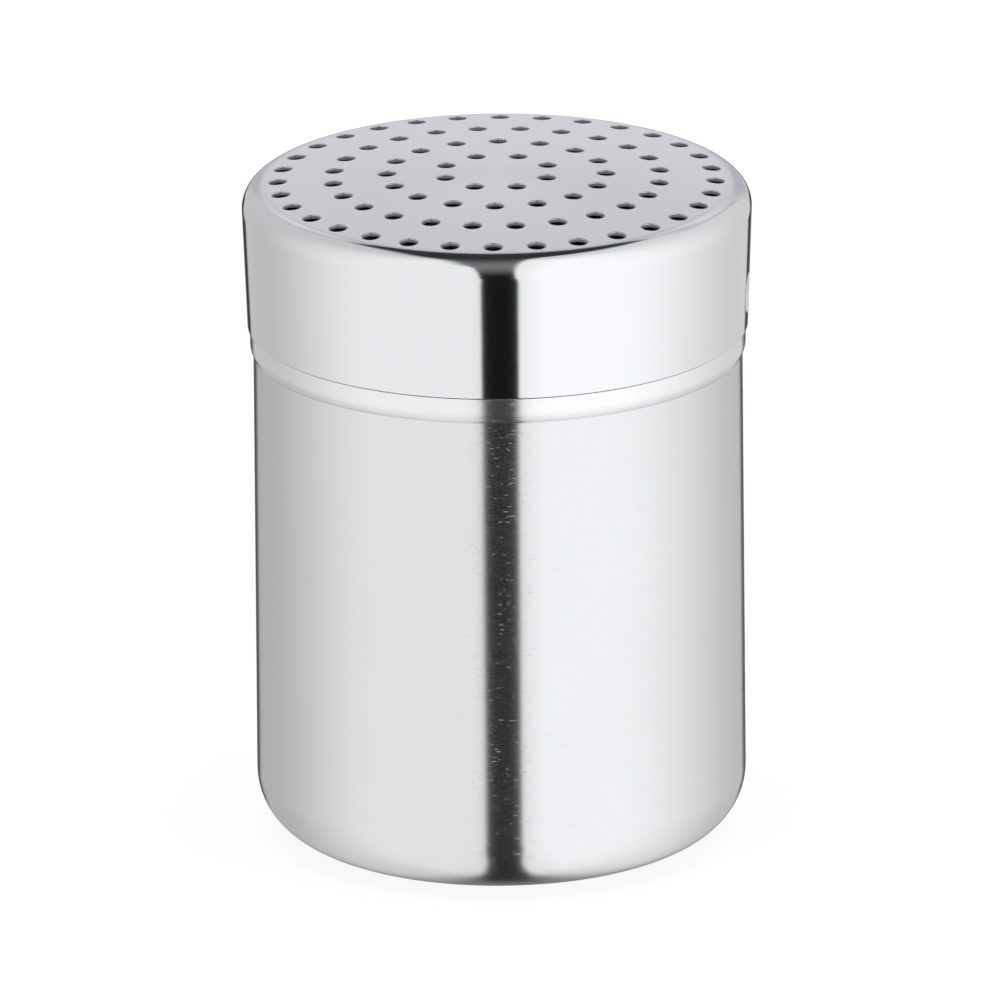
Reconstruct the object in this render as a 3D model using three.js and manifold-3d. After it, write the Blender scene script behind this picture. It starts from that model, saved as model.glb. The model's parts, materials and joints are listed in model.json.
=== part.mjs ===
// Stainless-steel spice shaker in two drawn sheet pieces: a cup with a bayonet neck, and a lid with a crowned,
// perforated top. Millimetres, +Z up, origin in the middle of the ring that the cup stands on.
import * as THREE from "three";
import { mergeVertices } from "three/addons/utils/BufferGeometryUtils.js";
import Module from "manifold-3d";

const wasm = await Module();
wasm.setup();

// Driving sizes, in millimetres
const sheet = 0.5;
const cup = {
  radius: 33.8, // outside of the wall under the bead
  spread: 0.25, // how much wider the wall is at its foot
  seatHeight: 73.0, // top of the bead, where the lid comes to rest
  baseCorner: 8.75, // outside radius between the base and the wall
  standWidth: 4.8, // flat ring that the cup stands on
  recessSlope: 1.6, // the middle of the base is pressed up over this width
  recessDepth: 0.8,
  beadStand: 0.45, // how far the bead stands out of the wall
  beadLand: 2.0, // straight height at the top of the bead
  beadRound: 3.0, // radius by which it runs back to the wall in a crease
  seatRound: 0.15, // outside radius of the bead's upper corner
  neckStep: 0.4, // how far the neck is drawn in from the wall
  neckRoot: 0.3,
};
const lid = {
  height: 21.9, // lower edge to the middle of the crown
  overBead: 0.35, // how far the skirt's lower edge stands out past the bead
  taper: 0.6, // how much wider the skirt is at its shoulder than at its lower edge
  shoulder: 3.3, // outside radius between the skirt and the crown
  crownRadius: 300, // the crown is a very flat dome
};
const pip = {
  radius: 3.6, // footprint of the dent that is pressed into the skirt
  depth: 1.4,
  edge: 1.5, // from the dent to the skirt's lower edge
};
const perforation = {
  diameter: 2.5,
  margin: 1.7, // from the outer ring of holes to the shoulder
};
const gap = {
  seat: 0.1, // lid to bead
  catch: 0.35, // pip to slot, at the bottom of both
  slotSide: 0.5, // how much wider the slot is than the pip, on each side
  rim: 3, // neck to the underside of the crown
};
const overrun = 1;

// Angles, in degrees
const angle = {
  pips: -5, // of the first pip from +X, in the assembled shaker
  holes: 4, // of the hole pattern from the first pip
  lockTurn: 22, // how far the lid turns to lock
};

// Counts
const catches = 2;
const rings = 4;
const holesPerRing = 8; // in the first ring, and how many more in each next one

// Facets: columns round the axis in degrees, and the others as counts
const facets = { column: 8, fineColumn: 2.8, dentRows: 6, baseCorner: 5, bead: 2, bend: 2, shoulder: 4, hole: 10 };

const steel = { color: 0xc9cacc, metalness: 1 };
const cupRoughness = 0.35;
const lidRoughness = 0.15;

const { degToRad, radToDeg, clamp } = THREE.MathUtils;

// Points of an arc in a profile, given as [radius, height] pairs
function arc(centre, radius, from, to, steps) {
  return Array.from({ length: steps + 1 }, (_, i) => {
    const a = degToRad(from + ((to - from) * i) / steps);
    return [centre[0] + radius * Math.cos(a), centre[1] + radius * Math.sin(a)];
  });
}

// Heights of the rows of points that a dent is pressed into
function dentRows(from, to) {
  return Array.from({ length: facets.dentRows + 1 }, (_, i) => from + ((to - from) * i) / facets.dentRows);
}

// Azimuths round the axis, in degrees: close together over each span that holds a dent, and wide elsewhere
function columns(spanFrom, spanTo) {
  const list = [];
  const fill = (from, to, step) => {
    const steps = Math.ceil((to - from) / step);
    for (let i = 0; i < steps; i++) list.push(from + ((to - from) * i) / steps);
  };
  const share = 360 / catches;
  for (let c = 0; c < catches; c++) {
    fill(c * share + spanFrom, c * share + spanTo, facets.fineColumn);
    fill(c * share + spanTo, (c + 1) * share + spanFrom, facets.column);
  }
  return list;
}

// Spins a profile about Z over the given azimuths, and presses it in by press(azimuth, height)
function spin(profile, turns, press) {
  const points = profile.map(([r, z]) => new THREE.Vector2(r, z));
  const lathe = new THREE.LatheGeometry(points, turns.length);
  const position = lathe.getAttribute("position");
  for (let i = 0; i < position.count; i++) {
    const azimuth = turns[Math.floor(i / points.length) % turns.length];
    const { x, y } = points[i % points.length];
    const r = x > 0 ? x - press(azimuth, y) : 0;
    position.setXYZ(i, r * Math.cos(degToRad(azimuth)), r * Math.sin(degToRad(azimuth)), y);
  }
  return solid(lathe);
}

function solid(geometry) {
  const bare = geometry.clone();
  bare.deleteAttribute("normal");
  bare.deleteAttribute("uv");
  const merged = mergeVertices(bare);
  const vertProperties = merged.getAttribute("position").array;
  const triVerts = new Uint32Array(merged.index.array);
  return new wasm.Manifold(new wasm.Mesh({ numProp: 3, vertProperties, triVerts }));
}

function mesh(name, made, roughness) {
  const { vertProperties, triVerts } = made.getMesh();
  const geometry = new THREE.BufferGeometry();
  geometry.setAttribute("position", new THREE.BufferAttribute(vertProperties, 3));
  geometry.setIndex(new THREE.BufferAttribute(triVerts, 1));
  geometry.computeVertexNormals();
  const part = new THREE.Mesh(geometry, new THREE.MeshStandardMaterial({ ...steel, roughness }));
  part.name = name;
  return part;
}

// Depth of a smooth dent at a distance from its middle line
function dent(distance, halfWidth, depth) {
  return distance < halfWidth ? depth * (1 - (distance / halfWidth) ** 2) ** 2 : 0;
}

// Way round the circle from the nearest catch, in degrees
function fromCatch(azimuth) {
  const share = 360 / catches;
  return azimuth - share * Math.round(azimuth / share);
}

// Sizes that the two pieces share
const beadRadius = cup.radius + cup.beadStand;
const neckRadius = cup.radius - cup.neckStep;
const lidBottom = cup.seatHeight + gap.seat;
const edgeRadius = beadRadius + lid.overBead;
const lidRadius = edgeRadius + lid.taper;
const pipHeight = pip.edge + pip.radius; // of its centre above the skirt's lower edge

// The lid's outside, in a frame that starts at its lower edge: a dome, a shoulder that the dome runs into, and a skirt
// that leaves the shoulder without a break and narrows towards its lower edge
const domeCentre = lid.height - lid.crownRadius;
const domeReach = lid.crownRadius - lid.shoulder;
const shoulderRadius = lidRadius - lid.shoulder;
const shoulderCentre = [shoulderRadius, domeCentre + Math.sqrt(domeReach ** 2 - shoulderRadius ** 2)];
const domeAngle = radToDeg(Math.asin(shoulderRadius / domeReach));
const skirtAngle = (() => {
  const across = edgeRadius - shoulderCentre[0];
  const down = shoulderCentre[1];
  return radToDeg(Math.atan2(down, across) - Math.acos(lid.shoulder / Math.hypot(across, down)));
})();

// Height of the dome at a radius, and radius of the skirt at a height; skin is the depth below the outside
function domeHeight(r, skin) {
  return domeCentre + Math.sqrt((lid.crownRadius - skin) ** 2 - r ** 2);
}

function skirtRadius(z, skin) {
  return edgeRadius + z * Math.tan(degToRad(skirtAngle)) - skin / Math.cos(degToRad(skirtAngle));
}

// The slots in the neck give way to the pips
const pipTip = skirtRadius(pipHeight, sheet) - pip.depth;
const slotDepth = neckRadius - pipTip + gap.catch;
const slotHalfWidth = pip.radius + gap.slotSide;

const ringPitch = (shoulderRadius - perforation.margin) / rings;

// One skin of the lid from the middle of the dome to the lower edge. The dome's facets meet between the rings of holes.
function lidSkin(skin) {
  const dome = [[0, domeHeight(0, skin)]];
  for (let ring = 1; ring < rings; ring++) {
    const r = (ring + 1 / 2) * ringPitch;
    dome.push([r, domeHeight(r, skin)]);
  }
  const shoulder = arc(shoulderCentre, lid.shoulder - skin, 90 - domeAngle, -skirtAngle, facets.shoulder);
  const skirt = [...dentRows(pipHeight + pip.radius, pip.edge), 0].map((z) => [skirtRadius(z, skin), z]);
  return [...dome, ...shoulder, ...skirt];
}

// Hole cutters in rings, each ring turned half a step from the last
function makeHoles() {
  const radius = perforation.diameter / 2;
  const punch = new THREE.CylinderGeometry(radius, radius, sheet + 2 * overrun, facets.hole).rotateX(Math.PI / 2);
  const cutters = [];
  for (let ring = 1; ring <= rings; ring++) {
    const count = ring * holesPerRing;
    const r = ring * ringPitch;
    for (let i = 0; i < count; i++) {
      const a = degToRad(angle.holes + (360 * (i + (ring % 2) / 2)) / count);
      const hole = punch.clone().rotateZ(a).translate(r * Math.cos(a), r * Math.sin(a), domeHeight(r, sheet / 2));
      cutters.push(solid(hole));
    }
  }
  return cutters;
}

function makeLid() {
  const press = (azimuth, z) => {
    const across = degToRad(fromCatch(azimuth)) * edgeRadius;
    return dent(Math.hypot(across, z - pipHeight), pip.radius, pip.depth);
  };
  const halfSpan = radToDeg(pip.radius / edgeRadius);
  const shell = spin([...lidSkin(sheet), ...lidSkin(0).reverse()], columns(-halfSpan, halfSpan), press);
  return wasm.Manifold.difference([shell, ...makeHoles()]);
}

// The slot in the neck runs from the rim down to the pip's height, and then sideways to the locked end
function pressSlot(azimuth, z) {
  const lockRun = degToRad(angle.lockTurn) * neckRadius;
  const across = degToRad(fromCatch(azimuth)) * neckRadius;
  const down = z - lidBottom - pipHeight;
  const toEntry = Math.hypot(across, Math.min(down, 0));
  const toRun = Math.hypot(across - clamp(across, -lockRun, 0), down);
  return z > cup.seatHeight ? dent(Math.min(toEntry, toRun), slotHalfWidth, slotDepth) : 0;
}

// One skin of the base and the corner above it
function baseSkin(skin) {
  const foot = cup.radius + cup.spread - cup.baseCorner;
  const recess = foot - cup.standWidth;
  return [
    [0, cup.recessDepth + skin],
    [recess - cup.recessSlope, cup.recessDepth + skin],
    [recess, skin],
    ...arc([foot, cup.baseCorner], cup.baseCorner - skin, -90, 0, facets.baseCorner),
  ];
}

function makeCup() {
  const slotTop = lidBottom + pipHeight + slotHalfWidth;
  const rim = lidBottom + domeHeight(shoulderRadius, sheet) - gap.rim;
  const neckFoot = cup.seatHeight + cup.neckRoot;
  const neck = [...dentRows(neckFoot, slotTop), rim];

  const landBottom = cup.seatHeight - cup.beadLand;
  const beadTurn = radToDeg(Math.acos(1 - cup.beadStand / cup.beadRound));
  const crease = landBottom - cup.beadRound * Math.sin(degToRad(beadTurn));

  const outside = [
    ...baseSkin(0),
    ...arc([beadRadius - cup.beadRound, landBottom], cup.beadRound, -beadTurn, 0, facets.bead),
    ...arc([beadRadius - cup.seatRound, cup.seatHeight - cup.seatRound], cup.seatRound, 0, 90, facets.bend),
    ...arc([neckRadius + cup.neckRoot, neckFoot], cup.neckRoot, -90, -180, facets.bend).slice(0, -1),
    ...neck.map((z) => [neckRadius, z]),
  ];
  const inside = [
    ...baseSkin(sheet),
    [cup.radius - sheet, crease],
    [beadRadius - sheet, landBottom],
    [beadRadius - sheet, cup.seatHeight - sheet],
    [neckRadius - sheet, cup.seatHeight - sheet],
    ...neck.map((z) => [neckRadius - sheet, z]),
  ];
  const side = radToDeg(slotHalfWidth / neckRadius);
  return spin([...outside, ...inside.reverse()], columns(-angle.lockTurn - side, side), pressSlot);
}

const shaker = new THREE.Group();
shaker.rotation.z = degToRad(angle.pips);
shaker.add(mesh("cup", makeCup(), cupRoughness));

const perforatedLid = mesh("perforated_lid", makeLid(), lidRoughness);
perforatedLid.position.z = lidBottom;
shaker.add(perforatedLid);

export default shaker;
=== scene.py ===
"""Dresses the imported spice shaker: a brushed cup with a bayonet neck, and a polished lid with a perforated top.

Lengths of the shaker are in millimetres, and become metres where a mesh, a lamp or the camera is made.
The azimuth 0 is +X, the camera stands on the -Y side, and +Z is up.
"""

import json
import logging
import math
from collections.abc import Callable, Mapping
from dataclasses import dataclass, replace
from enum import Enum, IntEnum
from functools import reduce
from typing import NamedTuple

import bmesh
import bpy
import numpy as np
from mathutils import Matrix, Vector

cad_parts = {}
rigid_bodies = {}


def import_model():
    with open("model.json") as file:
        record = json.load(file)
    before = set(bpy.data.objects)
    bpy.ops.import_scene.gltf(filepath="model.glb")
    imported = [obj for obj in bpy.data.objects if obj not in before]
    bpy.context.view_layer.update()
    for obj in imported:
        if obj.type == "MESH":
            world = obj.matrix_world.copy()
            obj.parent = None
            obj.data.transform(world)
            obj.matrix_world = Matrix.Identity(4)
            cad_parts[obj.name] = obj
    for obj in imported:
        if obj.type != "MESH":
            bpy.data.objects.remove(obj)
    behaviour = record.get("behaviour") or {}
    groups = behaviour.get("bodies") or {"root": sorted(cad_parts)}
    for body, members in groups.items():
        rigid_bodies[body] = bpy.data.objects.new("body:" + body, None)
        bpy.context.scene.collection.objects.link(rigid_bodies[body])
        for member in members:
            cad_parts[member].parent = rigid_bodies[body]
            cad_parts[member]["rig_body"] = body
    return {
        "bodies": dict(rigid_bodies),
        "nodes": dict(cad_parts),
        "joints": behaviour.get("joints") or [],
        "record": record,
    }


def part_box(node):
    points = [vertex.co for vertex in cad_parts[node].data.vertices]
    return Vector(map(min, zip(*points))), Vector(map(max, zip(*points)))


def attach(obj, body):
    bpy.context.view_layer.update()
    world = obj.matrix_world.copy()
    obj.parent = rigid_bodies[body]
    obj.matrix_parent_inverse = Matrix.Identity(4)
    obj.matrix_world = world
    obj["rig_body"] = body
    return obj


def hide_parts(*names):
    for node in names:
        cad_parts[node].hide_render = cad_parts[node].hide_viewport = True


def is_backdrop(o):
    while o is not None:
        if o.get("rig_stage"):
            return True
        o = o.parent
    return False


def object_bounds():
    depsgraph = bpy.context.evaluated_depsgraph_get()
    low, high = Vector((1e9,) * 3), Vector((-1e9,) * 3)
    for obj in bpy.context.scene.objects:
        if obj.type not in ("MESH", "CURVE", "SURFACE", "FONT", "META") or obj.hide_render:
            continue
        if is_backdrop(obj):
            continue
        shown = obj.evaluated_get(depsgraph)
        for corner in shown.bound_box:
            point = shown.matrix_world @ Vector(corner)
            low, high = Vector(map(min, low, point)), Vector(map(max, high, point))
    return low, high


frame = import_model()

log = logging.getLogger("spice_shaker")

MM = 0.001

Colour = tuple[float, float, float]
Span = tuple[float, float]
Bend = tuple[Vector, Vector, int]
Press = Callable[[np.ndarray, np.ndarray], np.ndarray]


def link(made: bpy.types.Object) -> bpy.types.Object:
    """Gives an object to the scene."""
    bpy.context.scene.collection.objects.link(made)
    return made


# Shader expressions


@dataclass(frozen=True)
class Signal:
    """An output of a node. Each operator adds a Math node to the signal's graph."""

    graph: "Graph"
    socket: bpy.types.NodeSocket

    def __add__(self, other: "Operand") -> "Signal":
        """Sum with a number or a signal."""
        return self.graph.math("ADD", self, other)

    def __sub__(self, other: "Operand") -> "Signal":
        """This signal less another."""
        return self.graph.math("SUBTRACT", self, other)

    def __rsub__(self, other: "Operand") -> "Signal":
        """A number less this signal."""
        return self.graph.math("SUBTRACT", other, self)

    def __mul__(self, other: "Operand") -> "Signal":
        """Product with a number or a signal."""
        return self.graph.math("MULTIPLY", self, other)

    def __truediv__(self, other: "Operand") -> "Signal":
        """This signal divided by another."""
        return self.graph.math("DIVIDE", self, other)

    def __pow__(self, other: "Operand") -> "Signal":
        """This signal raised to a power."""
        return self.graph.math("POWER", self, other)

    def __neg__(self) -> "Signal":
        """This signal with its sign turned."""
        return self.graph.math("MULTIPLY", self, -1.0)

    def __abs__(self) -> "Signal":
        """Size of this signal without its sign."""
        return self.graph.math("ABSOLUTE", self)

    __radd__ = __add__
    __rmul__ = __mul__


Operand = float | Colour | Signal


class Graph:
    """The node tree of one material or of the world."""

    def __init__(self, owner: bpy.types.Material | bpy.types.World) -> None:
        """Empties the owner's node tree, to build in it."""
        owner.use_nodes = True
        self.tree = owner.node_tree
        self.tree.nodes.clear()

    def add(
        self,
        kind: str,
        inputs: Mapping[str | int, Operand] | None = None,
        out: str | int = 0,
        **settings: object,
    ) -> Signal:
        """Adds one node, and returns one of its outputs.

        Args:
            kind: type of the node.
            inputs: a value or a signal for each socket that is used, by the socket's name or number.
            out: name or number of the output to return.
            settings: properties of the node, set before its inputs.
        """
        node = self.tree.nodes.new(kind)
        for name, value in settings.items():
            setattr(node, name, value)
        for name, value in (inputs or {}).items():
            if isinstance(value, Signal):
                self.tree.links.new(value.socket, node.inputs[name])
            else:
                node.inputs[name].default_value = value
        return Signal(self, node.outputs[out] if len(node.outputs) else None)

    def math(self, operation: str, *operands: Operand) -> Signal:
        """Adds a Math node on the operands."""
        return self.add("ShaderNodeMath", dict(enumerate(operands)), operation=operation)

    def ease(self, value: Signal, low: float, high: float) -> Signal:
        """A smooth step that is 0 where the value is at low and 1 where it is at high."""
        inputs = {"Value": value, "From Min": low, "From Max": high}
        return self.add("ShaderNodeMapRange", inputs, interpolation_type="SMOOTHSTEP")

    def blend(self, share: Operand, first: Operand, second: Operand) -> Signal:
        """A value between two others: the first at a share of 0, the second at 1."""
        return self.add("ShaderNodeMix", {0: share, 2: first, 3: second})

    def tint(self, share: Operand, first: Operand, second: Operand, way: str = "MIX") -> Signal:
        """A colour between two others: the first at a share of 0, the second, mixed in some way, at 1."""
        inputs = {0: share, 6: opaque(first), 7: opaque(second)}
        return self.add("ShaderNodeMix", inputs, out=2, data_type="RGBA", blend_type=way)

    def multiply(self, first: Operand, second: Operand) -> Signal:
        """The product of two colours."""
        return self.tint(1.0, first, second, "MULTIPLY")

    def parts(self, vector: Signal) -> tuple[Signal, Signal, Signal]:
        """The three components of a vector."""
        split = self.add("ShaderNodeSeparateXYZ", {0: vector})
        return tuple(Signal(self, socket) for socket in split.socket.node.outputs)

    def noise(self, place: tuple[Signal, Signal, Signal], detail: float, roughness: float) -> Signal:
        """Fractal noise at a scaled place, about 0.5 in the middle."""
        vector = self.add("ShaderNodeCombineXYZ", dict(enumerate(place)))
        inputs = {"Vector": vector, "Scale": 1.0, "Detail": detail, "Roughness": roughness}
        return self.add("ShaderNodeTexNoise", inputs)

    def rays(self, *kinds: str) -> Signal:
        """1 for rays of any of the given kinds."""
        path = self.add("ShaderNodeLightPath").socket.node
        found = [Signal(self, path.outputs[f"Is {kind} Ray"]) for kind in kinds]
        return reduce(lambda first, second: self.math("MAXIMUM", first, second), found)


def opaque(colour: Operand) -> Operand:
    """A colour with its alpha, or a signal as it is."""
    return (*colour, 1.0) if isinstance(colour, tuple) else colour


def grey(level: float) -> Colour:
    """A grey of a level, up to white at 1."""
    return level, level, level


# Finishes


class Turned(Enum):
    """Which way a piece's turning lines run up it: the sign of the radius in the length along its profile."""

    OUTWARD = 1.0
    INWARD = -1.0


@dataclass(frozen=True)
class Steel:
    """A finish of stainless steel, with fine lines that turning, brushing or polishing left round the axis.

    Wave numbers are in cycles per metre, and heights in metres.
    """

    name: str
    colour: Colour = (0.80, 0.80, 0.795)
    shade: float = 0.05
    roughness: float = 0.25
    roughness_spread: float = 0.04
    anisotropy: float = 0.0
    grain: float = 0.25
    haze: float = 0.0
    edge: float = 1.0
    turned: Turned = Turned.OUTWARD
    line_length: float = 350.0
    line_pitch: float = 6000.0
    line_height: float = 1.2e-6
    line_shade: float = 0.03
    line_span: Span = (0.25, 0.75)
    line_detail: float = 4.0
    line_roughness: float = 0.6
    cloud: float = 60.0
    cloud_detail: float = 3.0
    wave_height: float = 0.0
    wave: float = 150.0
    scratch_height: float = 0.0
    scratch_roughness: float = 0.0
    scratch_length: float = 700.0
    scratch_pitch: float = 7000.0
    scratch_share: float = 0.24
    scratch_soft: float = 0.06
    # Painted shade: the colour darkens by a share towards a height, in metres, and fades out within a reach of it,
    # standing in for shade in a crease.
    painted_shade_height: float = 0.0
    painted_shade_reach: float = 0.0018
    painted_shade: float = 0.0
    polish: Span | None = None
    polished: float = 0.12

    def build(self) -> bpy.types.Material:
        """Makes the material."""
        material = bpy.data.materials.new(self.name)
        graph = Graph(material)
        x, y, z = graph.parts(graph.add("ShaderNodeTexCoord", out="Object"))
        around = (x * x + y * y) ** 0.5
        along = z + around * self.turned.value

        def noise(length: float, pitch: float, detail: float = 1.0, roughness: float = 0.5) -> Signal:
            """Noise that is drawn out round the axis where its length is below its pitch."""
            return graph.noise((x * length, y * length, along * pitch), detail, roughness)

        lines = noise(self.line_length, self.line_pitch, self.line_detail, self.line_roughness)
        clouds = noise(self.cloud, self.cloud, self.cloud_detail)
        found = noise(self.scratch_length, self.scratch_pitch, roughness=self.line_roughness)
        scratches = 1.0 - graph.ease(found, self.scratch_share, self.scratch_share + self.scratch_soft)

        worn = tuple(channel * (1.0 - self.shade) for channel in self.colour)
        streaks = graph.tint(graph.ease(lines, *self.line_span), grey(1.0 - self.line_shade), grey(1.0))
        colour = graph.multiply(graph.tint(clouds, worn, self.colour), streaks)
        # Painted shade: the colour is darker near the given height, standing in for the shade that falls in a
        # crease.
        if self.painted_shade:
            near = 1.0 - graph.ease(abs(z - self.painted_shade_height), 0.0, self.painted_shade_reach)
            colour = graph.multiply(colour, graph.tint(near, grey(1.0), grey(1.0 - self.painted_shade)))

        spread = (clouds + lines - 1.0) * self.roughness_spread + scratches * self.scratch_roughness
        height = (lines - 0.5) * self.line_height - scratches * self.scratch_height
        if self.wave_height:
            height = height + (noise(self.wave, self.wave) - 0.5) * self.wave_height
        bump = graph.add("ShaderNodeBump", {"Height": height, "Distance": 1.0, "Strength": 1.0}, out="Normal")

        roughness, haze = self.roughness, self.haze
        if self.polish:
            near = graph.ease(around, *self.polish)
            roughness, haze = graph.blend(near, roughness, self.polished), graph.blend(near, haze, 0.0)
        inputs = {
            "Base Color": colour,
            "Metallic": 1.0 - haze,
            "Specular Tint": opaque(grey(self.edge)),
            "Roughness": spread + roughness,
            "Anisotropic": self.anisotropy,
            "Anisotropic Rotation": self.grain,
            "Normal": bump,
        }
        shader = graph.add("ShaderNodeBsdfPrincipled", inputs)
        graph.add("ShaderNodeOutputMaterial", {"Surface": shader})
        return material


BRUSHED_WALL = Steel(
    "brushed_wall",
    colour=(0.765, 0.772, 0.775),
    roughness=0.17,
    anisotropy=0.9,
    haze=0.028,
    edge=0.84,
    scratch_height=3.0e-6,
    scratch_roughness=0.065,
    scratch_share=0.245,
)
ROLLED_BEAD = replace(
    BRUSHED_WALL,
    name="rolled_bead",
    colour=(0.865, 0.87, 0.872),
    roughness=0.18,
    anisotropy=0.8,
    haze=0.04,
    edge=1.0,
    # Painted shade in the crease under the rolled bead: its colour darkens by a fifth towards the crease.
    painted_shade_height=0.0694,
    painted_shade=0.20,
)
SPUN_INSIDE = Steel("spun_inside", colour=(0.70, 0.70, 0.695), roughness=0.34, line_height=2.5e-6)
BRIGHT_NECK = Steel("bright_neck", roughness=0.16, line_height=0.6e-6)
POLISHED_SKIRT = Steel(
    "polished_skirt",
    colour=(0.80, 0.806, 0.81),
    shade=0.015,
    roughness=0.075,
    roughness_spread=0.012,
    turned=Turned.INWARD,
    line_height=0.10e-6,
    line_shade=0.008,
    wave_height=5.0e-6,
)
SATIN_TOP = Steel(
    "satin_top",
    colour=(0.79, 0.79, 0.82),
    polish=(0.0316, 0.0330),
    shade=0.02,
    roughness=0.46,
    anisotropy=0.25,
    grain=0.0,
    haze=0.27,
    turned=Turned.INWARD,
    line_length=1200.0,
    line_pitch=2000.0,
    line_height=0.25e-6,
    line_shade=0.015,
)
BURNISHED_RIM = Steel("burnished_rim", colour=(0.62, 0.62, 0.63), roughness=0.22, line_height=0.2e-6)
PUNCHED_WALL = Steel("punched_wall", colour=(0.52, 0.52, 0.53), shade=0.15, roughness=0.45, haze=0.42)
LID_INSIDE = Steel("lid_inside", colour=(0.72, 0.72, 0.71), roughness=0.3, turned=Turned.INWARD)


# Profiles and sheets


@dataclass(frozen=True)
class Corner:
    """A corner of a profile, in millimetres: its place, the radius that rounds it, and the line that leaves it."""

    radius: float
    height: float
    round: float = 0.0
    step: float = math.inf
    finish: int = 0


@dataclass(frozen=True)
class Profile:
    """Points along a profile, with the outward normal at each and the finish of the stretch that each begins."""

    radius: np.ndarray
    height: np.ndarray
    normal_radius: np.ndarray
    normal_height: np.ndarray
    finish: np.ndarray

    @classmethod
    def through(cls, corners: list[Corner], turn: float = 6.0) -> "Profile":
        """Joins corners by straight lines and rounds them.

        Args:
            corners: corners in order, with the steel on their left hand in (radius, height).
            turn: degrees between the points of a rounded corner.
        """
        places = [Vector((c.radius, c.height)) for c in corners]
        ways = [(after - before).normalized() for before, after in zip(places, places[1:])]
        bends = []
        for i, corner in enumerate(corners):
            before, after = ways[max(i - 1, 0)], ways[min(i, len(ways) - 1)]
            if corner.round:
                bends.append(cls._arc(places[i], before, after, corner, turn))
            else:
                bends.append([(places[i], Vector((after.y, -after.x)), corner.finish)])
        rows = []
        for corner, bend, following in zip(corners, bends, bends[1:] + [None]):
            rows += bend
            if following and corner.step < math.inf:
                rows += cls._line(bend[-1], following[0][0], corner)
        points = np.array([[*place, *normal] for place, normal, _ in rows])
        return cls(*points.T, np.array([finish for _, _, finish in rows]))

    @staticmethod
    def _arc(place: Vector, before: Vector, after: Vector, corner: Corner, turn: float) -> list[Bend]:
        """Points of one rounded corner, with their normals."""
        angle = before.angle_signed(after)
        reach = corner.round * math.tan(abs(angle) / 2)
        steps = max(2, math.ceil(abs(math.degrees(angle)) / turn))
        side = math.copysign(1.0, angle)
        start = place - before * reach
        normal = Vector((before.y, -before.x))
        centre = start + normal * corner.round * side
        rows = []
        for i in range(steps + 1):
            turned = Matrix.Rotation(-angle * i / steps, 2) @ normal
            rows.append((centre - turned * corner.round * side, turned, corner.finish))
        return rows

    @staticmethod
    def _line(last: Bend, end: Vector, corner: Corner) -> list[Bend]:
        """Points that divide the straight line from the last point to an end."""
        start, normal, _ = last
        way = end - start
        steps = math.ceil(way.length / corner.step)
        return [(start + way * i / steps, normal, corner.finish) for i in range(1, steps)]


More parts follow.
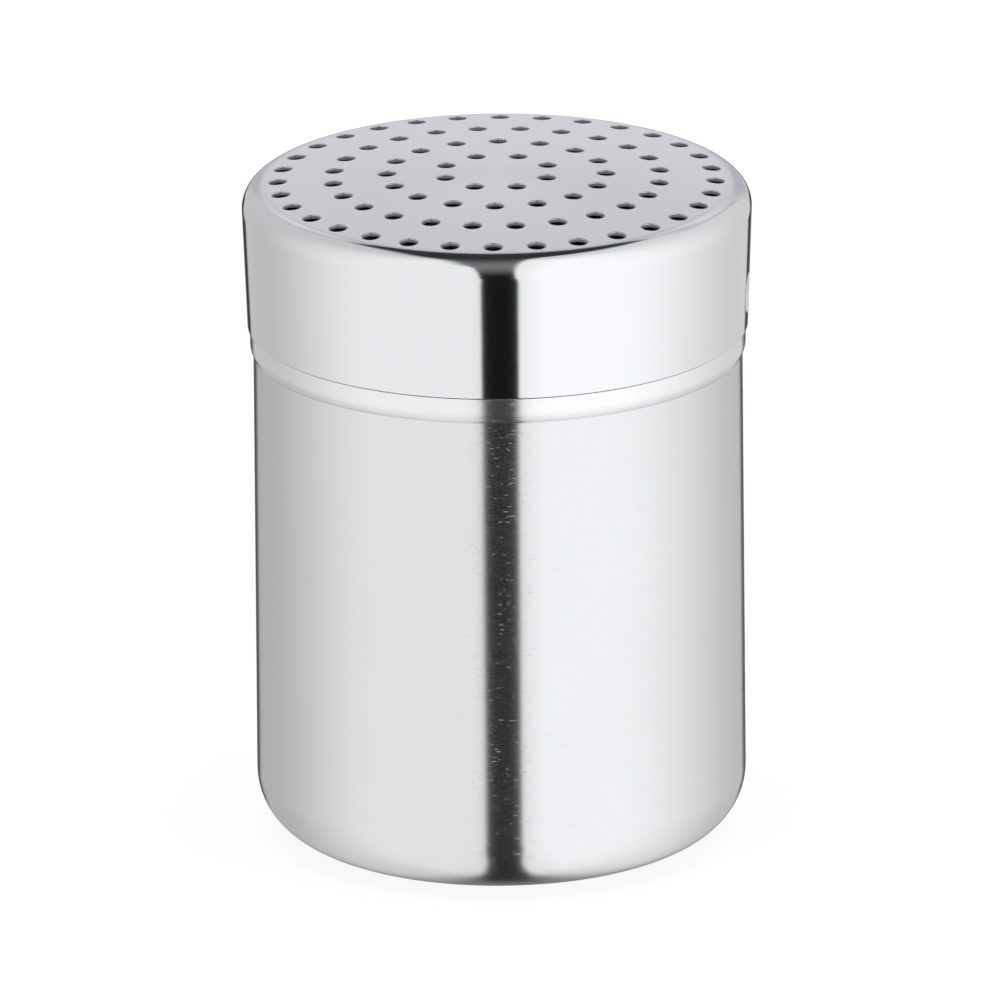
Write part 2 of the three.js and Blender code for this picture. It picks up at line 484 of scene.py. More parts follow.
class Sheet:
    """The patches of one piece of sheet steel, welded into one closed mesh with its surfaces' true normals.

    Points closer than WELD, in millimetres, become one, and slopes are taken over a step of NUDGE.
    """

    WELD = 0.002
    NUDGE = 0.01

    def __init__(self) -> None:
        """Starts with no patches."""
        self.points: list[np.ndarray] = []
        self.normals: list[np.ndarray] = []
        self.faces: list[np.ndarray] = []
        self.finishes: list[np.ndarray] = []
        self.count = 0

    def patch(self, points: np.ndarray, normals: np.ndarray, finish: np.ndarray) -> None:
        """Adds a grid of quads whose columns close into a ring.

        Args:
            points: places as rows by columns by 3.
            normals: outward normals in the same order.
            finish: number of the finish of each row of quads.
        """
        rows, columns = points.shape[:2]
        index = np.arange(rows * columns).reshape(rows, columns)
        right = np.roll(index, -1, axis=1)
        quads = np.stack([index[:-1], right[:-1], right[1:], index[1:]], axis=-1).reshape(-1, 4)
        flat, facing = points.reshape(-1, 3), normals.reshape(-1, 3)
        across = np.cross(flat[quads[:, 2]] - flat[quads[:, 0]], flat[quads[:, 3]] - flat[quads[:, 1]])
        if (across * facing[quads[:, 0]]).sum() < 0:
            quads = quads[:, ::-1]
        self.points.append(flat)
        self.normals.append(facing)
        self.faces.append(quads + self.count)
        self.finishes.append(np.repeat(finish[: rows - 1], columns))
        self.count += len(flat)

    def revolve(self, profile: Profile, azimuths: np.ndarray, press: Press | None = None) -> None:
        """Spins a profile round Z, in columns at azimuths in degrees, with dents whose depth press gives."""
        height, turn = np.meshgrid(profile.height, azimuths, indexing="ij")
        pressed, by_angle, by_height = np.zeros_like(turn), np.zeros_like(turn), np.zeros_like(turn)
        if press:
            small = self.NUDGE
            pressed = press(turn, height)
            by_angle = (press(turn + small, height) - press(turn - small, height)) / math.radians(2 * small)
            by_height = (press(turn, height + small) - press(turn, height - small)) / (2 * small)
        reach = profile.radius[:, None] - pressed
        # The normal leans with the slopes of the dents, round the axis and upwards, and is upright on the axis.
        out, up = profile.normal_radius[:, None], profile.normal_height[:, None]
        axis = reach < self.WELD
        outward, sideways = np.where(axis, 0.0, reach * out), by_angle * out
        upward = np.where(axis, up, reach * (up + by_height * out))
        cos, sin = np.cos(np.radians(turn)), np.sin(np.radians(turn))
        points = np.stack([reach * cos, reach * sin, height], axis=-1)
        normals = np.stack([outward * cos - sideways * sin, outward * sin + sideways * cos, upward], axis=-1)
        self.patch(points, unit(normals), profile.finish)

    def build(self, name: str, finishes: list[Steel]) -> bpy.types.Object:
        """Welds the patches and makes the object, at the origin and in metres.

        Args:
            name: name of the object and its mesh.
            finishes: the finishes by number.
        """
        mesh = bpy.data.meshes.new(name)
        faces = np.concatenate(self.faces)
        mesh.from_pydata(np.concatenate(self.points) * MM, [], faces.tolist())
        mesh.polygons.foreach_set("material_index", np.concatenate(self.finishes).astype(np.int32))
        normals = mesh.attributes.new("surface_normal", "FLOAT_VECTOR", "POINT")
        normals.data.foreach_set("vector", np.concatenate(self.normals).astype(np.float32).ravel())
        form = bmesh.new()
        form.from_mesh(mesh)
        bmesh.ops.remove_doubles(form, verts=form.verts, dist=self.WELD * MM)
        form.to_mesh(mesh)
        form.free()
        mesh.shade_smooth()
        facing = np.zeros(len(mesh.vertices) * 3, np.float32)
        mesh.attributes["surface_normal"].data.foreach_get("vector", facing)
        mesh.normals_split_custom_set_from_vertices(facing.reshape(-1, 3))
        mesh.attributes.remove(mesh.attributes["surface_normal"])
        for finish in finishes:
            mesh.materials.append(finish.build())
        return link(bpy.data.objects.new(name, mesh))


def unit(vectors: np.ndarray) -> np.ndarray:
    """The vectors at a length of 1."""
    return vectors / np.linalg.norm(vectors, axis=-1, keepdims=True)


def dent(distance: np.ndarray, half_width: float, depth: float) -> np.ndarray:
    """Depth of a smooth dent at a distance from its middle line, in millimetres."""
    return depth * (1 - np.minimum(distance / half_width, 1.0) ** 2) ** 2


@dataclass(frozen=True)
class Catches:
    """The bayonet catches: pips in the lid's skirt, and slots in the cup's neck that they turn into."""

    count: int = 2
    first: float = -5.0
    pip_radius: float = 3.6
    pip_depth: float = 1.4
    pip_edge: float = 1.5
    slot_side: float = 0.5
    slot_gap: float = 0.35
    lock_turn: float = 22.0

    @property
    def pip_height(self) -> float:
        """Height of a pip's centre above the skirt's lower edge."""
        return self.pip_edge + self.pip_radius

    def arc_from(self, azimuth: np.ndarray, radius: float) -> np.ndarray:
        """Length round a circle from the nearest catch, in millimetres."""
        share = 360 / self.count
        turn = azimuth - self.first
        return np.radians(turn - share * np.round(turn / share)) * radius


@dataclass
class Cup:
    """The drawn cup: a base with a pressed-up middle, a wall, a bead that the lid rests on, and the neck."""

    catches: Catches
    lid_bottom: float
    pip_tip: float
    rim: float
    radius: float = 33.8
    seat_gap: float = 0.1
    sheet: float = 0.5
    spread: float = 0.25
    base_corner: float = 8.75
    stand_width: float = 4.8
    recess_slope: float = 1.6
    recess_depth: float = 0.8
    recess_round: float = 1.2
    bead_stand: float = 0.45
    bead_land: float = 2.18
    bead_round: float = 2.4
    bead_inner_drop: float = 0.6
    bead_inner_round: float = 2.0
    crease_round: float = 0.2
    crease_inner_drop: float = 1.6
    crease_inner_round: float = 0.8
    seat_round: float = 0.15
    seat_inner_round: float = 0.35
    neck_step: float = 0.4
    neck_root: float = 0.3
    neck_inner_root: float = 0.4
    rim_share: float = 0.45
    column: float = 1.5
    fine_row: float = 0.4
    wall_row: float = 6.0

    class Finish(IntEnum):
        """Numbers of the cup's finishes."""

        WALL = 0
        BEAD = 1
        NECK = 2
        INSIDE = 3

    @property
    def neck_radius(self) -> float:
        """Outside radius of the neck."""
        return self.radius - self.neck_step

    @property
    def seat(self) -> float:
        """Height of the bead's top, just under the lid."""
        return self.lid_bottom - self.seat_gap

    @property
    def foot_radius(self) -> float:
        """Outside radius of the wall at its foot."""
        return self.radius + self.spread

    @property
    def recess_radius(self) -> float:
        """Radius at which the flat ring that the cup stands on begins."""
        return self.foot_radius - self.base_corner - self.stand_width

    def outside(self) -> list[Corner]:
        """Corners from the middle of the base up to the rim."""
        recess, soft = self.recess_radius, self.crease_round
        bead = self.radius + self.bead_stand
        land = self.seat - self.bead_land
        turn = math.acos(1 - self.bead_stand / self.bead_round)
        crease = land - self.bead_round * math.sin(turn)
        bend = land - self.bead_round * math.tan(turn / 2)
        rolled, neck = self.Finish.BEAD, self.Finish.NECK
        return [
            Corner(0.0, self.recess_depth),
            Corner(recess - self.recess_slope, self.recess_depth, round=self.recess_round),
            Corner(recess, 0.0, round=self.recess_round),
            Corner(self.foot_radius, 0.0, round=self.base_corner, step=self.wall_row),
            Corner(self.radius, crease, round=soft, finish=rolled),
            Corner(bead, bend, round=self.bead_round - 2 * soft, finish=rolled),
            Corner(bead, self.seat, round=self.seat_round, finish=rolled),
            Corner(self.neck_radius, self.seat, round=self.neck_root, step=self.fine_row, finish=neck),
        ]

    def inside(self) -> list[Corner]:
        """Corners from the rim down to the middle of the floor."""
        wall = self.radius - self.sheet
        bead = wall + self.bead_stand
        neck = self.neck_radius - self.sheet
        recess, floor = self.recess_radius, self.recess_depth + self.sheet
        under = self.seat - self.bead_land
        bends = [
            Corner(neck, self.seat - self.sheet, round=self.neck_inner_root),
            Corner(bead, self.seat - self.sheet, round=self.seat_inner_round),
            Corner(bead, under - self.bead_inner_drop, round=self.bead_inner_round),
            Corner(wall, under - self.crease_inner_drop, round=self.crease_inner_round),
            Corner(wall + self.spread, self.sheet, round=self.base_corner - self.sheet),
            Corner(recess, self.sheet, round=self.recess_round),
            Corner(recess - self.recess_slope, floor, round=self.recess_round),
            Corner(0.0, floor),
        ]
        return [replace(bend, finish=self.Finish.INSIDE) for bend in bends]

    def profile(self) -> Profile:
        """The whole section of the sheet, with the rim rounded over between the two sides."""
        edge, inner = self.sheet * self.rim_share, self.neck_radius - self.sheet
        rim = [
            Corner(self.neck_radius, self.rim, round=edge, finish=self.Finish.NECK),
            Corner(inner, self.rim, round=edge, step=self.fine_row, finish=self.Finish.INSIDE),
        ]
        return Profile.through(self.outside() + rim + self.inside())

    def slot(self, azimuth: np.ndarray, height: np.ndarray) -> np.ndarray:
        """Depth of the slots at an azimuth and height: down from the rim, and then sideways to the locked end."""
        catches = self.catches
        half_width = catches.pip_radius + catches.slot_side
        depth = self.neck_radius - self.pip_tip + catches.slot_gap
        run = math.radians(catches.lock_turn) * self.neck_radius
        across = catches.arc_from(azimuth, self.neck_radius)
        down = height - self.lid_bottom - catches.pip_height
        entry = np.hypot(across, np.minimum(down, 0.0))
        sideways = np.hypot(across - np.clip(across, -run, 0.0), down)
        pressed = dent(np.minimum(entry, sideways), half_width, depth)
        return np.where(height > self.seat - self.sheet / 2, pressed, 0.0)

    def build(self) -> bpy.types.Object:
        """Makes the cup, which rides on the cup's body."""
        sheet = Sheet()
        azimuths = np.arange(0.0, 360.0, self.column) + self.catches.first
        sheet.revolve(self.profile(), azimuths, self.slot)
        piece = sheet.build("drawn_cup", [BRUSHED_WALL, ROLLED_BEAD, BRIGHT_NECK, SPUN_INSIDE])
        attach(piece, "cup")
        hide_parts("cup")
        return piece


class Row(NamedTuple):
    """A row of points round a hole.

    It has a share of the way from the edge of the hole's cell to the hole, a distance from the hole's axis, a depth
    in shares of the sheet, a tilt of the normal towards the axis, and the finish of the faces under it.
    """

    share: float
    out: float
    depth: float
    tilt: float
    finish: int


@dataclass
class Lid:
    """The drawn lid: a flat dome with rings of punched holes, a rounded shoulder, and a skirt with two pips."""

    catches: Catches
    bottom: float
    top: float
    radius: float
    sheet: float = 0.5
    taper: float = 0.6
    shoulder: float = 3.3
    crown: float = 300.0
    hole: float = 2.44
    hole_turn: float = 4.0
    rings: int = 4
    first_ring: int = 8
    margin: float = 1.7
    satin_tilt: float = 15.0
    dip_round: float = 0.5
    dip_tilt: float = 12.0
    rim_round: float = 0.1
    burr: float = 0.05
    edge_round: float = 0.24
    fine_row: float = 0.35
    columns: int = 384
    radial_steps: int = 6
    middle_rows: int = 4

    OUTER_ROWS = (0.0, 0.55, 0.85)
    DIP_ROWS = (0.0, 0.25, 0.5, 0.75)
    RIM_ROWS = (0.0, 0.17, 0.34, 0.5, 0.67, 0.84, 1.0)
    BURR_ROWS = (0.5, 0.75, 1.0)
    INNER_ROWS = (0.7, 0.0)

    class Finish(IntEnum):
        """Numbers of the lid's finishes."""

        SKIRT = 0
        TOP = 1
        RIM = 2
        HOLE = 3
        INSIDE = 4

    @property
    def shoulder_radius(self) -> float:
        """Radius of the circle that the shoulder's centres lie on."""
        return self.radius - self.shoulder

    @property
    def dome_centre(self) -> float:
        """Height of the dome's centre."""
        return self.top - self.crown

    @property
    def dome_end(self) -> float:
        """Radius at which the dome runs into the shoulder."""
        return self.crown * self.shoulder_radius / (self.crown - self.shoulder)

    def dome(self, radius: np.ndarray, skin: float = 0.0) -> np.ndarray:
        """Height of the dome, or of the surface at a depth under it, at a radius."""
        return self.dome_centre + np.sqrt((self.crown - skin) ** 2 - radius**2)

    @property
    def shoulder_height(self) -> float:
        """Height of the shoulder's centres."""
        return self.dome_centre + math.sqrt((self.crown - self.shoulder) ** 2 - self.shoulder_radius**2)

    @property
    def lean(self) -> float:
        """Angle of the skirt from upright, which lets it leave the shoulder without a break."""
        across = self.radius - self.taper - self.shoulder_radius
        down = self.shoulder_height - self.bottom
        return math.atan2(down, across) - math.acos(self.shoulder / math.hypot(across, down))

    def skirt_radius(self, height: float, skin: float = 0.0) -> float:
        """Radius of the skirt at a height above its lower edge, or of the surface at a depth under it."""
        return self.radius - self.taper + height * math.tan(self.lean) - skin / math.cos(self.lean)

    @property
    def pip_tip(self) -> float:
        """Radius that the tips of the pips reach inside the skirt."""
        return self.skirt_radius(self.catches.pip_height, self.sheet) - self.catches.pip_depth

    def skirt(self, skin: float, finish: int) -> list[Corner]:
        """Corners of one side of the skirt, from the end of the dome down to the lower edge."""
        pip_top = self.catches.pip_height + self.catches.pip_radius
        end = self.dome_end * (self.crown - skin) / self.crown
        top = float(self.dome(end, skin))
        fall = end / (top - self.dome_centre)
        wall, slope = self.skirt_radius(-self.bottom, skin), math.tan(self.lean)
        height = (top - fall * (wall - end)) / (1 + fall * slope)
        return [
            Corner(self.shoulder_radius, float(self.dome(self.shoulder_radius, skin)), finish=finish),
            Corner(wall + slope * height, height, round=self.shoulder - skin, finish=finish),
            Corner(self.skirt_radius(pip_top, skin), self.bottom + pip_top, finish=finish),
            Corner(self.skirt_radius(0.0, skin), self.bottom, round=self.edge_round, finish=finish),
        ]

    def profile(self) -> Profile:
        """The section of the shoulder and skirt, down its inside, round the lower edge and up its outside."""
        inner = self.skirt(self.sheet, self.Finish.INSIDE)
        outer = self.skirt(0.0, self.Finish.SKIRT)[::-1]
        inner[2] = replace(inner[2], step=self.fine_row)
        outer[0] = replace(outer[0], step=self.fine_row)
        made = Profile.through(inner + outer)
        satin = made.normal_height > math.cos(math.radians(self.satin_tilt))
        return replace(made, finish=np.where(satin, self.Finish.TOP, made.finish))

    def pip(self, azimuth: np.ndarray, height: np.ndarray) -> np.ndarray:
        """Depth of the pips at an azimuth and height."""
        across = self.catches.arc_from(azimuth, self.skirt_radius(self.catches.pip_height))
        up = height - self.bottom - self.catches.pip_height
        return dent(np.hypot(across, up), self.catches.pip_radius, self.catches.pip_depth)

    def on_dome(self, x: np.ndarray, y: np.ndarray, depth: float) -> np.ndarray:
        """Places at a depth under the dome, in shares of the sheet: 0 on the outside and 1 on the inside."""
        radius = np.hypot(x, y)
        outer, inner = self.dome(radius), self.dome(radius, self.sheet)
        return np.stack([x, y, outer + (inner - outer) * depth], axis=-1)

    def rim_rows(self) -> list[Row]:
        """Rows down a hole, from the edge of its dip to the burr under it."""
        dip = math.radians(self.dip_tilt)
        rows = []
        for share in self.DIP_ROWS:
            t = dip * share
            out = self.rim_round * (1 - math.sin(dip)) + self.dip_round * (math.sin(dip) - math.sin(t))
            rows.append((out, self.dip_round * (1 - math.cos(t)), t, self.Finish.RIM))
        sunk = self.dip_round * (1 - math.cos(dip))
        for share in self.RIM_ROWS:
            t = dip + (math.pi / 2 - dip) * share
            down = sunk + self.rim_round * (math.cos(dip) - math.cos(t))
            finish = self.Finish.RIM if share < 1 else self.Finish.HOLE
            rows.append((self.rim_round * (1 - math.sin(t)), down, t, finish))
        for share in self.BURR_ROWS:
            t = math.pi * share
            down = self.sheet - self.burr * (1 + math.cos(t))
            rows.append((self.burr * (1 - math.sin(t)), down, t, self.Finish.HOLE))
        return [Row(1.0, self.hole / 2 + out, down / self.sheet, tilt, finish) for out, down, tilt, finish in rows]

    def cell(self, count: int, inner: float, outer: float) -> tuple[np.ndarray, np.ndarray]:
        """The edge of one hole's share of its ring, round from its inner corner, as radius and angle."""
        half = 180 / count
        across = np.linspace(-half, half, self.columns // count + 1)[:-1]
        out = np.linspace(inner, outer, self.radial_steps + 1)[:-1]
        back = np.linspace(outer, inner, self.radial_steps + 1)[:-1]
        radius = np.concatenate([out, np.full_like(across, outer), back, np.full_like(across, inner)])
        angle = np.concatenate([np.full_like(out, -half), across, np.full_like(back, half), -across])
        return radius, np.radians(angle)

    def punch(self, sheet: Sheet, ring: int, inner: float, outer: float) -> None:
        """Adds one ring of holes, by its number from 1, with the steel round them between two radii."""
        count = ring * self.first_ring
        middle = ring * self.pitch
        start = self.catches.first + self.hole_turn + 180 / count * (ring % 2)
        edge_radius, edge_angle = self.cell(count, inner, outer)
        edge_x, edge_y = edge_radius * np.cos(edge_angle) - middle, edge_radius * np.sin(edge_angle)
        way = np.arctan2(edge_y, edge_x)
        rim = self.rim_rows()
        rows = [Row(share, rim[0].out, 0.0, 0.0, self.Finish.TOP) for share in self.OUTER_ROWS]
        rows += rim
        rows += [Row(share, rim[-1].out, 1.0, math.pi, self.Finish.INSIDE) for share in self.INNER_ROWS]
        for i in range(count):
            turn = math.radians(start + 360 * i / count)
            cos, sin = math.cos(turn), math.sin(turn)
            inward = -np.stack([np.cos(way + turn), np.sin(way + turn), np.zeros_like(way)], axis=-1)
            points, normals = [], []
            for row in rows:
                x = middle + edge_x * (1 - row.share) + row.share * row.out * np.cos(way)
                y = edge_y * (1 - row.share) + row.share * row.out * np.sin(way)
                placed = self.on_dome(x * cos - y * sin, x * sin + y * cos, row.depth)
                up = unit(placed - np.array([0.0, 0.0, self.dome_centre]))
                points.append(placed)
                normals.append(unit(up * math.cos(row.tilt) + inward * math.sin(row.tilt)))
            sheet.patch(np.array(points), np.array(normals), np.array([row.finish for row in rows]))

    @property
    def pitch(self) -> float:
        """Distance between the rings of holes."""
        return (self.shoulder_radius - self.margin) / self.rings

    def middle(self, sheet: Sheet, reach: float, azimuths: np.ndarray) -> None:
        """Adds the unpunched middle of the dome, on both sides."""
        for skin, side, finish in ((0.0, 1.0, self.Finish.TOP), (self.sheet, -1.0, self.Finish.INSIDE)):
            radius = np.linspace(0.0, reach, self.middle_rows)
            height = self.dome(radius, skin)
            lean = side * radius / (self.crown - skin)
            profile = Profile(radius, height, lean, side * np.sqrt(1 - lean**2), np.full(len(radius), finish))
            sheet.revolve(profile, azimuths)

    def build(self) -> bpy.types.Object:
        """Makes the lid, which rides on the lid's body."""
        sheet = Sheet()
        azimuths = np.arange(self.columns) * 360 / self.columns + self.catches.first + self.hole_turn
        sheet.revolve(self.profile(), azimuths, self.pip)
        limits = [(ring + 0.5) * self.pitch for ring in range(self.rings)] + [self.shoulder_radius]
        self.middle(sheet, limits[0], azimuths)
        for ring in range(1, self.rings + 1):
            self.punch(sheet, ring, limits[ring - 1], limits[ring])
        piece = sheet.build("sifter_lid", [POLISHED_SKIRT, SATIN_TOP, BURNISHED_RIM, PUNCHED_WALL, LID_INSIDE])
        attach(piece, "lid")
        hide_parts("perforated_lid")
        return piece


# Studio

# Soft borders in a direction's components: from one side to the other, and from below the horizon to above it.
MIDDLE = (-0.02, 0.02)
HORIZON = (-0.1, 0.0)


@dataclass(frozen=True)
class Camera:
    """The camera of the photograph: a long lens that looks down on the shaker. Distances are in metres."""

    lens: float = 623.4
    sensor: float = 36.0
    distance: float = 2.4
    near: float = 0.24
    far: float = 9.6
    pitch: float = 18.351
    roll: float = -0.493
    target: tuple[float, float, float] = (0.000093, 0.0, 0.047217)

    def build(self) -> bpy.types.Object:
        """Makes the camera and gives it to the scene."""
        pitch, roll = math.radians(self.pitch), math.radians(self.roll)
        ahead = Vector((0.0, math.cos(pitch), -math.sin(pitch)))
        turn = Matrix.Rotation(roll, 4, -ahead)
        stand = ahead.to_track_quat("-Z", "Y").to_matrix().to_4x4()
        data = bpy.data.cameras.new("camera")
        data.lens, data.sensor_width = self.lens, self.sensor
        data.clip_start, data.clip_end = self.near, self.far
        camera = link(bpy.data.objects.new("camera", data))
        camera.matrix_world = Matrix.Translation(Vector(self.target) - ahead * self.distance) @ turn @ stand
        bpy.context.scene.camera = camera
        return camera


@dataclass(frozen=True)
class Way:
    """A direction out into the studio: its components, and its angles in degrees.

    The turn goes round the shaker from the front, 0, to the back, 180, and over goes there over the top.
    """

    graph: Graph
    x: Signal
    y: Signal
    z: Signal
    turn: Signal
    rise: Signal
    over: Signal

    @classmethod
    def out(cls, graph: Graph) -> "Way":
        """The direction that the world is looked up in."""
        x, y, z = graph.parts(graph.add("ShaderNodeTexCoord", out="Generated"))
        degrees = 180 / math.pi
        turn = graph.math("ARCTAN2", abs(x), -y) * degrees
        rise = graph.math("ARCSINE", z) * degrees
        over = graph.math("ARCTAN2", z, -y) * degrees
        return cls(graph, x, y, z, turn, rise, over)

    @property
    def behind(self) -> Signal:
        """1 behind the shaker and 0 in front of it."""
        return self.graph.ease(self.y, *MIDDLE)

    @property
    def above(self) -> Signal:
        """1 above the horizon and 0 well below it."""
        return self.graph.ease(self.z, *HORIZON)


@dataclass(frozen=True)
class Screen:
    """A large white screen at one side, which falls off towards the back and a little towards the gap."""

    level: float
    back: float
    fall: Span
    inner: float
    reach: Span

    def light(self, way: Way, aside: Signal, even: Signal) -> Signal:
        """Level at a distance to the screen's side, where its fall towards the back is evened out by a share."""
        graph = way.graph
        level = graph.blend(graph.ease(way.turn, *self.fall) * (1 - even), self.level, self.back)
        return level * graph.blend(graph.ease(aside, *self.reach), self.inner, 1.0)


@dataclass(frozen=True)
class Screens:
    """The two screens, which fall off less high up and low down, and end behind the shaker in a low dark edge."""

    left: Screen = Screen(level=1.03, back=0.60, fall=(55.0, 135.0), inner=0.95, reach=(0.12, 0.22))
    right: Screen = Screen(level=1.20, back=0.71, fall=(52.0, 148.0), inner=0.88, reach=(0.14, 0.36))
    high: Span = (-25.0, 60.0)
    high_share: float = 0.20
    low: Span = (-55.0, -28.0)
    low_share: float = 0.5
    edge_level: float = 0.04
    edge_turn: Span = (158.5, 163.0)
    edge_foot: Span = (-25.0, -22.0)
    edge_top: Span = (-10.0, -6.0)

    def light(self, way: Way) -> Signal:
        """Level of the light from the screens."""
        ease, blend = way.graph.ease, way.graph.blend
        even = ease(way.rise, *self.high) * self.high_share
        even = even + (1 - ease(way.rise, *self.low)) * self.low_share
        left, right = self.left.light(way, -way.x, even), self.right.light(way, way.x, even)
        edge = ease(way.turn, *self.edge_turn) * ease(way.rise, *self.edge_foot)
        edge = edge * (1 - ease(way.rise, *self.edge_top))
        return blend(edge, blend(ease(way.x, *MIDDLE), left, right), self.edge_level)


@dataclass(frozen=True)
class Backdrop:
    """The pale grey backdrop behind the shaker, in a frame of another tone. Heights are in degrees."""

    centre: float = 0.035
    level: float = 0.66
    rise: float = 0.30
    rise_span: Span = (10.0, 34.0)
    fall: float = 0.13
    fall_span: Span = (0.0, 0.22)
    half: float = 0.32
    top: float = 36.0
    frame_level: float = 0.62
    frame_half: float = 0.40
    frame_top: float = 43.0
    foot: Span = (-6.0, -1.0)
    soft_side: float = 0.03
    soft_top: float = 3.0
    cover: Span = (25.0, 29.0)

    def upper(self, way: Way) -> Signal:
        """1 above the backdrop's foot, behind the shaker."""
        return way.behind * way.graph.ease(way.rise, *self.foot)

    def inside(self, way: Way, half: float, top: float) -> Signal:
        """1 inside an outline of half a width and a height."""
        across = abs(way.x - self.centre)
        within = 1 - way.graph.ease(across, half - self.soft_side, half + self.soft_side)
        below = 1 - way.graph.ease(way.rise, top - self.soft_top, top + self.soft_top)
        return self.upper(way) * (within * below)

    def share(self, way: Way) -> Signal:
        """1 on the backdrop."""
        return self.inside(way, self.half, self.top)

    def over(self, way: Way, level: Signal) -> Signal:
        """Lays the frame and the backdrop over the level of what is behind them."""
        frame = self.inside(way, self.frame_half, self.frame_top)
        level = way.graph.blend(frame, level, self.frame_level)
        risen = way.graph.ease(way.rise, *self.rise_span) * self.rise
        fallen = way.graph.ease(abs(way.x), *self.fall_span) * self.fall
        return way.graph.blend(self.share(way), level, risen - fallen + self.level)

    def covered(self, way: Way) -> Signal:
        """1 where the backdrop hides the gap between the screens."""
        return self.upper(way) * (1 - way.graph.ease(way.rise, *self.cover))


@dataclass(frozen=True)
class Gap:
    """The dark gap between the screens, in front and above. Places and widths are along X."""

    centre: float = 0.0045
    centre_low: float = 0.0155
    lean: float = 0.028
    lean_end: Span = (0.2, 0.6)
    half: float = 0.137
    taper: float = 0.006
    narrow: float = 0.62
    narrow_end: Span = (25.0, 43.0)
    pinch: float = 0.04
    pinch_low: Span = (0.5, 1.0)
    pinch_end: Span = (0.0, 0.35)
    left_start: Span = (-0.6, -0.35)
    left_open: float = 0.47
    left_open_end: Span = (0.0, 0.3)
    left_haze: float = 0.035
    open_height: Span = (0.62, 0.74)
    open_end: Span = (0.1, 0.5)
    open_half: float = 0.11
    open_soft: float = 0.03
    soft: float = 0.011
    soft_high: float = 0.010
    soft_high_span: Span = (0.5, 0.9)
    blur_low: float = 0.095
    blur_low_span: Span = (0.0, 0.35)
    dark: float = 0.009
    overhead: float = 0.20
    overhead_start: Span = (8.0, 62.0)
    overhead_end: Span = (58.0, 118.0)
    back: float = 0.032
    back_start: Span = (95.0, 125.0)
    low: float = 0.30
    low_span: Span = (0.25, 0.85)

    def share(self, way: Way) -> Signal:
        """1 in the gap."""
        ease, blend = way.graph.ease, way.graph.blend
        above, high = way.above, ease(way.z, *self.open_height)
        leant = self.centre - way.z * (1 - ease(way.y, *self.lean_end)) * self.lean
        centre = blend(above, self.centre_low, leant)

        left = ease(-way.x, *MIDDLE) * ease(way.y, *self.left_start)
        past = ease(way.y, *self.left_open_end)
        opened = blend(left, ease(way.y, *self.open_end), blend(past, self.left_open, 1.0)) * high

        narrowed = 1 - way.behind * above * (1 - ease(way.rise, *self.narrow_end)) * self.narrow
        pinched = ease(-way.z, *self.pinch_low) * (1 - ease(way.y, *self.pinch_end)) * self.pinch
        half = (self.half - ease(way.z, 0.0, 1.0) * self.taper - pinched) * narrowed + opened * self.open_half

        blurred = ease(way.y, *self.blur_low_span) * (1 - above) * self.blur_low
        hazed = left * high * (1 - past) * self.left_haze
        soft = blurred + ease(way.z, *self.soft_high_span) * self.soft_high + opened * self.open_soft
        soft = soft + hazed + self.soft
        return 1 - ease((abs(way.x - centre) - half) / soft, -1.0, 1.0)

    def light(self, way: Way) -> Signal:
        """Level of the light from the gap, which is less dark overhead and low behind the shaker."""
        ease = way.graph.ease
        overhead = ease(way.over, *self.overhead_start) * (1 - ease(way.over, *self.overhead_end)) * self.overhead
        back = ease(way.over, *self.back_start) * self.back
        low = (1 - way.above) * ease(way.y, *self.low_span) * self.low
        return overhead + back + low + self.dark


@dataclass(frozen=True)
class Studio:
    """Plain soft light: white screens at the sides, a dark gap between them, and a backdrop behind."""

    screens: Screens = Screens()
    backdrop: Backdrop = Backdrop()
    gap: Gap = Gap()
    neutral: Colour = (0.985, 1.0, 1.012)
    lavender: Colour = (0.965, 0.975, 1.04)

    def build(self) -> bpy.types.World:
        """Makes the world: what the steel reflects, and white for the camera."""
        world = bpy.data.worlds.new("studio")
        bpy.context.scene.world = world
        graph = Graph(world)
        way = Way.out(graph)

        level = self.backdrop.over(way, self.screens.light(way))
        gap = self.gap.share(way) * (1 - self.backdrop.covered(way))
        level = graph.blend(gap, level, self.gap.light(way))
        colour = graph.tint(self.backdrop.share(way), self.neutral, self.lavender)

        lit = graph.add("ShaderNodeBackground", {"Color": colour, "Strength": level})
        white = graph.add("ShaderNodeBackground", {"Color": opaque(grey(1.0)), "Strength": 1.0})
        seen = graph.rays("Camera", "Transmission")
        surface = graph.add("ShaderNodeMixShader", {0: seen, 1: lit, 2: white})
        graph.add("ShaderNodeOutputWorld", {"Surface": surface})
        return world


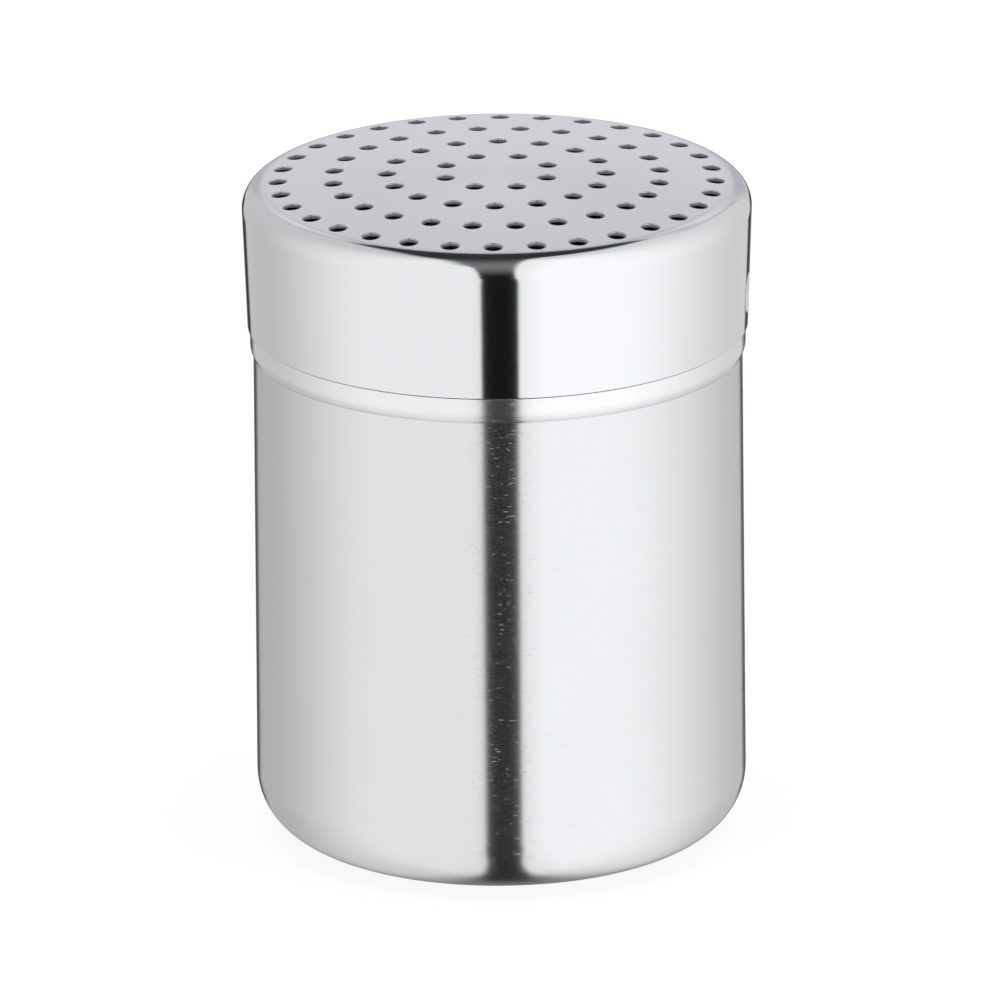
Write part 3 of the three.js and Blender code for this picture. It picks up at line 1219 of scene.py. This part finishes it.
@dataclass(frozen=True)
class Floor:
    """A pale floor that shows as white and keeps the shaker's shadow. Sizes are in metres."""

    reach: float = 3.0
    drop: float = 0.00002
    white_share: float = 0.88
    albedo: float = 0.9

    def build(self) -> bpy.types.Object:
        """Makes the floor and stages it."""
        mesh = bpy.data.meshes.new("floor")
        signs = [(-1, -1), (1, -1), (1, 1), (-1, 1)]
        mesh.from_pydata([(a * self.reach, b * self.reach, -self.drop) for a, b in signs], [], [(0, 1, 2, 3)])
        floor = link(bpy.data.objects.new("floor", mesh))
        floor.visible_glossy = False
        mesh.materials.append(self.material())
        floor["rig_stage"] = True
        return floor

    def material(self) -> bpy.types.Material:
        """White for the camera, mixed with a matt surface that takes the shadow."""
        material = bpy.data.materials.new("pale_floor")
        graph = Graph(material)
        matt = graph.add("ShaderNodeBsdfDiffuse", {"Color": opaque(grey(self.albedo))})
        white = graph.add("ShaderNodeEmission", {"Color": opaque(grey(1.0)), "Strength": 1.0})
        seen = graph.rays("Camera", "Glossy", "Transmission")
        mix = graph.add("ShaderNodeMixShader", {0: seen * self.white_share, 1: matt, 2: white})
        graph.add("ShaderNodeOutputMaterial", {"Surface": mix})
        return material


@dataclass(frozen=True)
class FillLamp:
    """A wide lamp above that lights only matt surfaces, so that the shadow on the floor is soft."""

    watts: float = 18.0
    width: float = 1.2
    height: float = 1.6

    def build(self) -> bpy.types.Object:
        """Makes the lamp."""
        data = bpy.data.lights.new("fill_lamp", "AREA")
        data.energy, data.size = self.watts, self.width
        lamp = link(bpy.data.objects.new("fill_lamp", data))
        lamp.location = (0.0, 0.0, self.height)
        lamp.visible_glossy = lamp.visible_camera = False
        return lamp


def corners() -> list[list[float]]:
    """The shown object's lowest and highest corner, as plain numbers."""
    return [list(corner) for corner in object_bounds()]


def main() -> None:
    """Builds the stage, the cup and the lid."""
    logging.basicConfig(level=logging.INFO, format="%(name)s: %(message)s")
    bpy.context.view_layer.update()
    bpy.context.scene.view_settings.view_transform = "Standard"

    lid_low, lid_high = (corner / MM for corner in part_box("perforated_lid"))
    cup_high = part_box("cup")[1] / MM
    catches = Catches()
    for part in (Camera(), Studio(), Floor(), FillLamp()):
        made = part.build()
        log.info("stage: %s %s", type(part).__name__, made.name)

    lid_radius = min(max(lid_high.x, -lid_low.x), max(lid_high.y, -lid_low.y))
    lid = Lid(catches, bottom=lid_low.z, top=lid_high.z, radius=lid_radius)
    cup = Cup(catches, lid_bottom=lid.bottom, pip_tip=lid.pip_tip, rim=cup_high.z)
    for part in (cup, lid):
        piece = part.build()
        log.info("%s: %d faces, rides on %s", piece.name, len(piece.data.polygons), piece["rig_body"])


if __name__ == "__main__":
    main()
